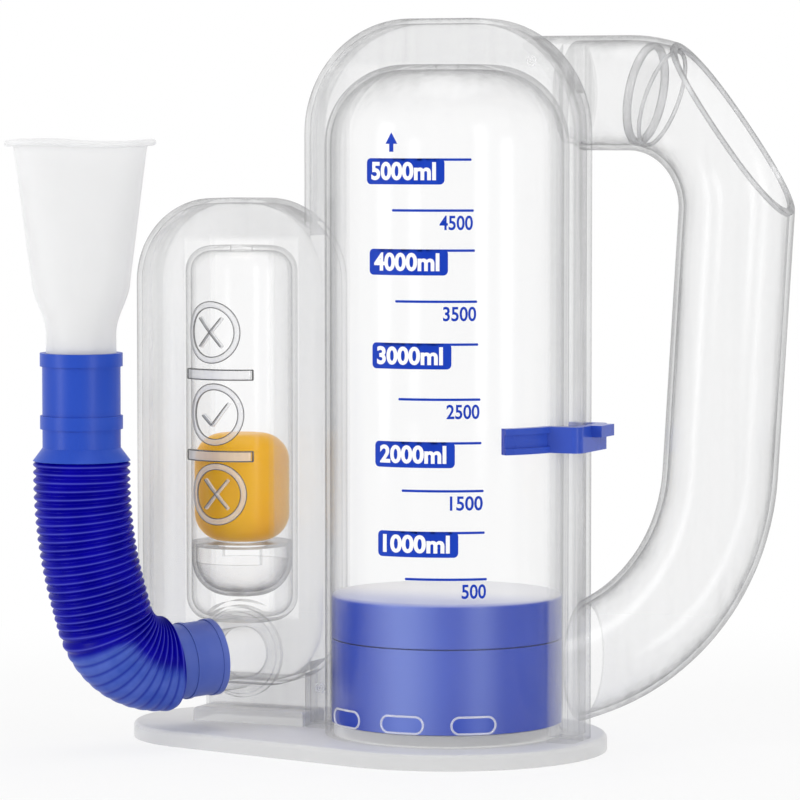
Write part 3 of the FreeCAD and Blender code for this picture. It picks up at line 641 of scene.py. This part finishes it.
shoulder_rises = [SHOULDER + 1.8 * step for step in range(11)]
rises = [FOOT, 133, 143] + shoulder_rises + [175, 188, 200, 209, TOP - 1.6]
outside = [section(height) + (height,) for height in rises]
inside = [(wide - WALL, deep - WALL, height) for wide, deep, height in reversed(outside)]
wide, deep = section(TOP)
half = LIP_THICKNESS / 2
lip = [(wide + 0.2, deep + 0.2, TOP - half)]
for step in range(LIP_STEPS + 1):
    turn = math.pi * step / LIP_STEPS
    reach = LIP - half + half * math.sin(turn)
    lip.append((wide + reach, deep + reach, TOP - half * math.cos(turn)))
for past_wall, sunk in ((0.9, 0), (0.25, 0.35)):
    lip.append((wide - WALL + past_wall, deep - WALL + past_wall, TOP + half - sunk))
shell = grown([tuple(number * MM for number in ring) for ring in outside + lip + inside])
print("grew the mouthpiece from", len(outside + lip + inside), "sections")

# %% [markdown]
# The real lip isn't level: it waves a little along its width. A Lattice could bend it, but one cosine
# along the mouth's width is enough, and it dies out below the lip. Then the mouthpiece is turned and
# set on the hose's upright end.

# %% Set it on the hose's axis
LIP_WAVE = 0.5 * MM
WAVE_FROM, WAVE_HEIGHT = 200, 14
MOUTHPIECE_TURN = 24
for spot in shell.verts:
    rise = max(0.0, (spot.co.z / MM - WAVE_FROM) / WAVE_HEIGHT)
    along = spot.co.x / (MOUTH[0] * MM)
    spot.co.z += LIP_WAVE * rise * (math.cos(3.3 * along + 1.9) - 1)
tilted(shell, MOUTHPIECE_TURN, "Z")
bmesh.ops.translate(shell, verts=shell.verts[:], vec=(upright_foot.x, upright_foot.y, 0))
mouthpiece = piece("flared_mouthpiece", shell, frosted_mouth, "mouthpiece", crisp=60)
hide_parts("mouthpiece")

# %% [markdown]
# The volume scale is printed on the column's curved front. Each mark is drawn flat, as if the wall were
# unrolled, with distance along the wall as X and height as Z. The drawing is then sliced into narrow
# strips, so that it can follow the curve, and wrapped round the column. A picture on the wall would be
# shorter to write, but thin pieces keep crisp edges from near by.

# %% Draw flat and wrap
def sliced(shape, step):
    """Cuts a flat drawing along upright lines, a step apart."""
    low = min(spot.co.x for spot in shape.verts)
    high = max(spot.co.x for spot in shape.verts)
    for count in range(1, int((high - low) / step) + 1):
        bmesh.ops.bisect_plane(shape, geom=shape.verts[:] + shape.edges[:] + shape.faces[:],
                               plane_co=(low + step * count, 0, 0), plane_no=(1, 0, 0))


def wrapped(shape, axis_x, radius):
    """Rolls a flat drawing round an upright cylinder. Its Y becomes the depth under the surface."""
    for spot in shape.verts:
        turn = spot.co.x / radius
        out = radius - spot.co.y
        spot.co = (axis_x + out * math.sin(turn), -out * math.cos(turn), spot.co.z)


def merged(shapes):
    """One bmesh that holds several."""
    whole = bmesh.new()
    for shape in shapes:
        mesh = bpy.data.meshes.new("part")
        shape.to_mesh(mesh)
        shape.free()
        whole.from_mesh(mesh)
        bpy.data.meshes.remove(mesh)
    return whole


def raised(shape, depth):
    """Gives a flat drawing a thickness, outwards."""
    made = bmesh.ops.extrude_face_region(shape, geom=shape.faces[:])["geom"]
    spots = [part for part in made if isinstance(part, bmesh.types.BMVert)]
    bmesh.ops.translate(shape, verts=spots, vec=(0, -depth, 0))
    bmesh.ops.recalc_face_normals(shape, faces=shape.faces[:])


print("flat drawings can be sliced, wrapped, merged and raised")

# %% Plates and figures
def plate(left, right, bottom, top, corner=0):
    """A flat plate in the XZ plane, with rounded corners where a radius is given."""
    shape = bmesh.new()
    bmesh.ops.create_grid(shape, x_segments=1, y_segments=1, size=0.5)
    tilted(shape, 90, "X")
    bmesh.ops.scale(shape, vec=(right - left, 1, top - bottom), verts=shape.verts[:])
    bmesh.ops.translate(shape, vec=((left + right) / 2, 0, (bottom + top) / 2), verts=shape.verts[:])
    if corner:
        bmesh.ops.bevel(shape, geom=shape.verts[:], offset=corner, segments=5, profile=0.5, affect="VERTICES",
                        material=-1)
    return shape


def figures(text, left, right, bottom, top, weight):
    """Type that is fitted to a rectangle of the XZ plane."""
    curve = bpy.data.curves.new("type", "FONT")
    curve.body = text
    curve.offset = weight
    curve.resolution_u = 5
    setting = bpy.data.objects.new("type", curve)
    bpy.context.scene.collection.objects.link(setting)
    mesh = bpy.data.meshes.new_from_object(setting.evaluated_get(bpy.context.evaluated_depsgraph_get()))
    shape = bmesh.new()
    shape.from_mesh(mesh)
    bpy.data.objects.remove(setting)
    bpy.data.curves.remove(curve)
    bpy.data.meshes.remove(mesh)
    lows = [min(spot.co[axis] for spot in shape.verts) for axis in (0, 1)]
    highs = [max(spot.co[axis] for spot in shape.verts) for axis in (0, 1)]
    for spot in shape.verts:
        along = (spot.co.x - lows[0]) / (highs[0] - lows[0])
        up = (spot.co.y - lows[1]) / (highs[1] - lows[1])
        spot.co = (left + (right - left) * along, 0, bottom + (top - bottom) * up)
    return shape


print("plates and figures can be drawn")

# %% [markdown]
# The scale has a boxed figure and a long line at each litre, and a plain line with small figures at
# each half. Each mark starts a little further to the right than the one above it, and the heights
# aren't evenly spaced, so they are kept as a list and not worked out from the volume.

# %% The marks of the scale
COLUMN_RADIUS = 42.8 * MM
FULL_MARKS = (207.7, 176.8, 144.8, 111.1, 80.4)
HALF_MARKS = (190.4, 159.4, 126.0, 94.7, 64.4)
BOX_WIDTH = 28.8 * MM
BOX_HEIGHT = 8.9 * MM
BOX_CORNER = 1.6 * MM
BOX_LINE_PAST = 9.2 * MM
HALF_LINE = 28.5 * MM
HALF_PAST = 10.0 * MM
LINE = 0.85 * MM
LINE_CORNER = 0.3 * MM
FIGURE_INSET = 0.3 * MM
DIGIT = 2.85 * MM


def arc(degrees):
    """The distance along the column's wall of an angle from its front."""
    return math.radians(degrees) * COLUMN_RADIUS


def full_mark(left, top, volume):
    """A box, the line on its top edge and its white figures."""
    box = plate(left, left + BOX_WIDTH, top - BOX_HEIGHT, top, BOX_CORNER)
    line = plate(left + 3 * MM, left + BOX_WIDTH + BOX_LINE_PAST, top - LINE, top, LINE_CORNER)
    white = figures(f"{volume}ml", left + 2.0 * MM, left + 25.9 * MM, top - 7.5 * MM, top - 1.2 * MM, 0.035)
    return [box, line], white


def half_mark(right, top, volume):
    """A line with small figures under its right-hand end."""
    text = str(volume)
    ends = (right - DIGIT * len(text) - FIGURE_INSET, right - FIGURE_INSET)
    return [plate(right - HALF_LINE, right, top - LINE, top, LINE_CORNER),
            figures(text, *ends, top - 7.1 * MM, top - 2.1 * MM, 0.02)]


print("the column's wall is", round(arc(360) / MM, 1), "mm round")

# %% Lay out the scale
SCALE_LEFT = -16.3
SCALE_SHIFT = 1.6
blue_print, white_print = [], []
for count in range(5):
    left = arc(SCALE_LEFT + SCALE_SHIFT * count)
    blue, white = full_mark(left, FULL_MARKS[count] * MM, 5000 - 1000 * count)
    right = left + BOX_WIDTH + HALF_PAST
    blue_print += blue + half_mark(right, HALF_MARKS[count] * MM, 4500 - 1000 * count)
    white_print.append(white)
tip = bmesh.new()
bmesh.ops.create_circle(tip, cap_ends=True, radius=2.6 * MM, segments=3)
tilted(tip, 90, "X")
bmesh.ops.translate(tip, verts=tip.verts[:], vec=(0, 0, 4.0 * MM))
arrow = merged([plate(-0.8 * MM, 0.8 * MM, 0, 2.9 * MM), tip])
arrow_foot = (arc(SCALE_LEFT) + 10 * MM, 0, FULL_MARKS[0] * MM + 2.2 * MM)
bmesh.ops.translate(arrow, verts=arrow.verts[:], vec=arrow_foot)
blue_print.append(arrow)
print("the scale has", len(blue_print), "blue marks and", len(white_print), "white ones")

# %% [markdown]
# Print is a film of ink, blue first and white figures over it. Two flat sheets in one place would
# flicker, so each film is a thin solid, and the white one stands a little further out.

# %% Print it
INK = 0.06 * MM
ink = pigment_finish("scale_ink", (0.006, 0.042, 0.44, 1), (0.010, 0.052, 0.48, 1),
                     0.4, 0.05, along=300, shine=0.1)
white_ink = pigment_finish("white_ink", (0.95, 0.95, 0.95, 1), (0.92, 0.92, 0.92, 1), 0.45, 0.05, along=300)
for name, marks, finish, height in (("scale_print", blue_print, ink, 0.02 * MM),
                                    ("scale_figures", white_print, white_ink, 0.10 * MM)):
    sheet = merged(marks)
    sliced(sheet, 1.5 * MM)
    raised(sheet, INK)
    bmesh.ops.translate(sheet, verts=sheet.verts[:], vec=(0, -height, 0))
    wrapped(sheet, 0, COLUMN_RADIUS)
    piece(name, sheet, finish, "housing")

# %% [markdown]
# The tower has moulded marks instead of print: two circled crosses, a circled tick between them, and a
# bar on each side of the tick that shows where the float should stay. They are clear and stand a little
# proud, and their edges look dark, because light bends away there. Clear alone would hardly show at
# few samples, so each mark has a pale body, a painted highlight, and fine dark strokes along its edges,
# a painted shade.

# %% Rings and strokes
def ring(centre, outer, width, height):
    """A low round-topped ring in the XZ plane, spun from a small circle."""
    shape = bmesh.new()
    rim = bmesh.ops.create_circle(shape, cap_ends=False, radius=width / 2, segments=14)["verts"]
    bmesh.ops.scale(shape, vec=(1, 2 * height / width, 1), verts=rim)
    bmesh.ops.translate(shape, vec=(outer - width / 2, 0, 0), verts=rim)
    bmesh.ops.spin(shape, geom=shape.verts[:] + shape.edges[:], cent=(0, 0, 0), axis=(0, 1, 0),
                   angle=math.tau, steps=72, use_merge=True)
    bmesh.ops.translate(shape, vec=(centre[0], 0, centre[1]), verts=shape.verts[:])
    bmesh.ops.recalc_face_normals(shape, faces=shape.faces[:])
    return shape


def stroke(start, end, width, height):
    """A straight bar with bevelled edges between two points of the XZ plane."""
    shape = bmesh.new()
    bmesh.ops.create_cube(shape, size=1)
    run = Vector((end[0] - start[0], 0, end[1] - start[1]))
    bmesh.ops.scale(shape, vec=(run.length + width * 0.4, 2 * height, width), verts=shape.verts[:])
    bmesh.ops.bevel(shape, geom=shape.edges[:], offset=height * 0.45, segments=2, profile=0.5, affect="EDGES",
                    material=-1)
    turn = Matrix.Rotation(-math.atan2(run.z, run.x), 3, "Y")
    bmesh.ops.rotate(shape, verts=shape.verts[:], cent=(0, 0, 0), matrix=turn)
    middle = ((start[0] + end[0]) / 2, 0, (start[1] + end[1]) / 2)
    bmesh.ops.translate(shape, verts=shape.verts[:], vec=middle)
    return shape


print("rings and strokes can be drawn")

# %% The tower's marks
TOWER_RADIUS = 20 * MM
RING_OUTER = 10.9 * MM
RING_WIDTH = 2.1 * MM
PROUD = 0.75 * MM
LINE_WIDTH = 1.3 * MM
CROSS = 4.4 * MM
CROSS_LINES = [((-CROSS, -CROSS * 1.15 * lean), (CROSS, CROSS * 1.15 * lean)) for lean in (1, -1)]
TICK_LOW = (-0.6 * MM, -3.9 * MM)
TICK_LINES = [((-4.4 * MM, -0.4 * MM), TICK_LOW), (TICK_LOW, (5.6 * MM, 4.0 * MM))]
LINE_SHIFT = 0.55 * MM
FINE = 0.42 * MM
FINE_PROUD = 0.9 * MM
BAR_LEFT, BAR_RIGHT, BAR_HALF = -13.2 * MM, 11.6 * MM, 1.75 * MM


def circled(centre, lines):
    """A ring with lines in it: its pale bodies, and the fine dark edges beside them."""
    bodies = [ring(centre, RING_OUTER, RING_WIDTH, PROUD)]
    edges = [ring(centre, outer + FINE / 2, FINE, PROUD * 0.5)
             for outer in (RING_OUTER, RING_OUTER - RING_WIDTH)]
    for line in lines:
        start, end = [(centre[0] + spot[0], centre[1] + spot[1]) for spot in line]
        bodies.append(stroke(start, end, LINE_WIDTH, PROUD * 0.8))
        shifted = [(spot[0] - LINE_SHIFT, spot[1]) for spot in (start, end)]
        edges.append(stroke(*shifted, FINE, FINE_PROUD * 0.8))
    return bodies, edges


def barred(height):
    """A bar across the tower: its pale body, and the fine dark edges all round it."""
    left, right = BAR_LEFT - BAR_HALF * 0.8, BAR_RIGHT + BAR_HALF * 0.8
    corners = [(left, height - BAR_HALF), (right, height - BAR_HALF),
               (right, height + BAR_HALF), (left, height + BAR_HALF)]
    body = stroke((BAR_LEFT, height), (BAR_RIGHT, height), 2 * BAR_HALF, PROUD * 1.1)
    return [body], [stroke(*pair, FINE, FINE_PROUD) for pair in zip(corners, corners[1:] + corners[:1])]


print("the tower's rings are", round(2 * RING_OUTER / MM, 1), "mm across")

# %% Place the marks up the tower
def on_tower(name, finish, marks):
    """Wraps flat marks round the tower's front."""
    whole = merged(marks)
    sliced(whole, 1.4 * MM)
    wrapped(whole, TOWER_X, TOWER_RADIUS)
    piece(name, whole, finish, "housing", crisp=30)


CIRCLES = (((-2.4 * MM, 145.7 * MM), CROSS_LINES),
           ((-1.1 * MM, 116.6 * MM), TICK_LINES),
           ((-0.2 * MM, 88.3 * MM), CROSS_LINES))
BARS = (130.7 * MM, 101.8 * MM)
bodies, edges = [], []
for new_bodies, new_edges in [circled(*circle) for circle in CIRCLES] + [barred(bar) for bar in BARS]:
    bodies += new_bodies
    edges += new_edges
on_tower("tower_marks", clear_mark, bodies)
on_tower("tower_mark_edges", mark_edge, edges)

# %% [markdown]
# Air passes through the slots at the column's foot, and each has a low rim round it. The border also
# has two small round marks where pins pushed the moulding out. All are low round-topped rings, so the
# function that made the tower's rings makes them too, and an obround is a ring that is pulled apart.

# %% Slot rims and mould marks
SLOT_ANGLES = (-32, 2, 36)
MARK_SPOTS = ((36.0, 241.0), (-44.5, 20.0))


def slot_rim(middle, height, half_long, half_tall, width, proud):
    """A low obround rim in the XZ plane: a round ring, pulled apart at its middle."""
    shape = ring((0, 0), half_tall, width, proud)
    for spot in shape.verts:
        spot.co.x += math.copysign(half_long - half_tall, spot.co.x) if abs(spot.co.x) > 1e-6 else 0
        spot.co.x += middle
        spot.co.z += height
    return shape


rim_sheet = merged([slot_rim(arc(angle), height=13.6 * MM, half_long=8.2 * MM, half_tall=3.3 * MM,
                             width=0.8 * MM, proud=0.35 * MM) for angle in SLOT_ANGLES])
sliced(rim_sheet, 1.5 * MM)
wrapped(rim_sheet, 0, COLUMN_RADIUS)
piece("slot_rims", rim_sheet, clear_mark, "housing", crisp=60)
mould_marks = merged([ring((x * MM, z * MM), outer, width, height=0.3 * MM)
                      for outer, width in ((1.9 * MM, 0.6 * MM), (0.9 * MM, 0.5 * MM))
                      for x, z in MARK_SPOTS])
bmesh.ops.translate(mould_marks, verts=mould_marks.verts[:], vec=(0, -10.0 * MM, 0))
piece("mould_marks", mould_marks, clear_mark, "housing", crisp=60)

# %% [markdown]
# The slanted mouth of the handle shows the thickness of its wall as a grey band. The band could be
# drawn as an oval, but it follows the CAD cut exactly when it is lifted from there: the faces of both
# halves that lie in the cut's plane are copied, joined and given a small thickness of their own.

# %% The mouth's rim
MOUTH_SLOPE = math.radians(35.5)
RIM_INSET = 0.2 * MM
RIM_PROUD = 0.15 * MM
RIM_DEPTH = 1.5 * MM
mouth_normal = Vector((math.cos(MOUTH_SLOPE), 0, math.sin(MOUTH_SLOPE)))
rim = bmesh.new()
for half in ("handle_front", "handle_rear"):
    rim.from_mesh(nodes[half].data)
bmesh.ops.remove_doubles(rim, verts=rim.verts[:], dist=0.00001)
rim.normal_update()
cut = max(spot.co.dot(mouth_normal) for spot in rim.verts) - 0.0001
others = [face for face in rim.faces if face.normal.dot(mouth_normal) < 0.999
          or face.calc_center_median().dot(mouth_normal) < cut]
bmesh.ops.delete(rim, geom=others, context="FACES")
bmesh.ops.remove_doubles(rim, verts=rim.verts[:], dist=0.00025)
outline = bmesh.ops.inset_region(rim, faces=rim.faces[:], thickness=RIM_INSET, use_boundary=True)["faces"]
bmesh.ops.delete(rim, geom=outline, context="FACES")
bmesh.ops.translate(rim, verts=rim.verts[:], vec=mouth_normal * RIM_PROUD)
grown_rim = bmesh.ops.extrude_face_region(rim, geom=rim.faces[:])["geom"]
bmesh.ops.translate(rim, verts=[part for part in grown_rim if isinstance(part, bmesh.types.BMVert)],
                    vec=mouth_normal * -RIM_DEPTH)
widest = max(spot.co.x for spot in nodes["handle_front"].data.vertices)
for spot in rim.verts:
    spot.co.x = min(spot.co.x, widest - 0.01 * MM)
bmesh.ops.recalc_face_normals(rim, faces=rim.faces[:])
piece("mouth_rim", rim, thick_edge, "housing")

# %% [markdown]
# Two grey rings show through the handle's top branch: the edge of the wall that closes it, and a
# finer one beside it, where the plug behind the wall ends. Both stand square to the tube, which bends
# there about a centre below. A bead spun round the tube catches light from any side, which a painted
# line wouldn't.

# %% Rings inside the top branch
ELBOW_RADIUS = 39 * MM
BULKHEAD_TURN = 10
PLUG_TURN = 19


def hoop(name, centre, slope, outer, width, proud):
    """A bead round the handle's tube, square to a direction in the XZ plane."""
    shape = ring((0, 0), outer, width, proud)
    tilted(shape, 90, "Z")
    tilted(shape, slope, "Y")
    bmesh.ops.translate(shape, verts=shape.verts[:], vec=centre)
    piece(name, shape, thick_edge, "housing", crisp=60)


def from_elbow(degrees):
    """From the bend's centre to its tube, at an angle from upright."""
    return Vector((math.sin(math.radians(degrees)), 0, math.cos(math.radians(degrees)))) * ELBOW_RADIUS


low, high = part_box("handle_bulkhead")
bulkhead = (low + high) / 2
plug_end = bulkhead - from_elbow(BULKHEAD_TURN) + from_elbow(PLUG_TURN)
hoop("bulkhead_ring", bulkhead, BULKHEAD_TURN, outer=17.9 * MM, width=2.6 * MM, proud=1.5 * MM)
hoop("plug_end_ring", plug_end, PLUG_TURN, outer=17.7 * MM, width=1.5 * MM, proud=0.7 * MM)

# %% [markdown]
# The studio is a pale table under soft light. Colour, not brightness, makes the white ground: rays that
# the camera, a mirror or a clear wall sends out see plain white, and every other ray sees a world at a
# level at which a colour renders about as it is written. A brighter world would whiten the ground too,
# but it would wash the pale plastic out.

# %% World
ROOM_LIGHT = 0.55
WHITE = (1, 1, 1, 1)
sky = Finish("studio", bpy.data.worlds.new("studio"))
bpy.context.scene.world = sky.material
seen = sky.rays("Is Camera Ray", "Is Glossy Ray", "Is Transmission Ray")
level = seen * (1 - ROOM_LIGHT) + ROOM_LIGHT
sky.show(sky.node("Background", None, {"Color": WHITE, "Strength": level}), "World")
print("room light", ROOM_LIGHT)

# %% [markdown]
# The table has to look white and still hold the object's soft shadow. So it is paper for the light and,
# for the rays that see it, mostly a plain glow of strength 1 that grows to all of it away from the
# object, where the shadow ends.

# %% Floor
NEAR_GLOW = 0.80
SHADOW_END = (0.16, 0.42)
floor_finish = Finish("pale_floor")
floor_seen = floor_finish.rays("Is Camera Ray", "Is Glossy Ray", "Is Transmission Ray")
mottle = floor_finish.noise((40, 40, 40), 2.0)
paper = floor_finish.node("BsdfPrincipled", None, {
    "Base Color": floor_finish.mixed(mottle, (0.90, 0.90, 0.90, 1), (0.93, 0.93, 0.93, 1)),
    "Roughness": 0.7,
})
glow = floor_finish.node("Emission", None, {"Color": WHITE, "Strength": 1.0})
distance = floor_finish.node("VectorMath", {"operation": "LENGTH"}, {0: floor_finish.place()}, 1)
glow_share = floor_seen * (NEAR_GLOW + (1 - NEAR_GLOW) * distance.step(*SHADOW_END))
floor_finish.show(floor_finish.node("MixShader", None, {0: glow_share, 1: paper, 2: glow}))
ground = bmesh.new()
bmesh.ops.create_grid(ground, x_segments=2, y_segments=2, size=4)
floor_mesh = bpy.data.meshes.new("floor")
ground.to_mesh(floor_mesh)
ground.free()
floor_mesh.materials.append(floor_finish.material)
floor = bpy.data.objects.new("floor", floor_mesh)
bpy.context.scene.collection.objects.link(floor)
print("floor laid")

# %% [markdown]
# Two tall soft boxes to the left and right shade the round forms and give faint upright gleams, and a
# square one hangs above. They are weak, because the world gives most of the light. The left one
# stands far round to the side, where the flat faces of the handle and the border don't mirror it.

# %% Soft boxes
def soft_box(name, place, aim, wide, tall, power):
    """A rectangular area lamp at a place that points at an aim."""
    lamp = bpy.data.lights.new(name, "AREA")
    lamp.shape = "RECTANGLE"
    lamp.size = wide
    lamp.size_y = tall
    lamp.energy = power
    box = bpy.data.objects.new(name, lamp)
    box.location = place
    box.rotation_euler = (Vector(aim) - Vector(place)).to_track_quat("-Z", "Y").to_euler()
    bpy.context.scene.collection.objects.link(box)


soft_box("left_box", (-0.86, -1.09, 0.35), (0, 0, 0.12), wide=0.34, tall=1.1, power=7.5)
soft_box("right_box", (1.15, -0.78, 0.35), (0, 0, 0.12), wide=0.28, tall=1.1, power=6.5)
soft_box("top_box", (0.0, 0.1, 1.6), (0, 0, 0), wide=0.9, tall=0.9, power=5.5)
print("three soft boxes")
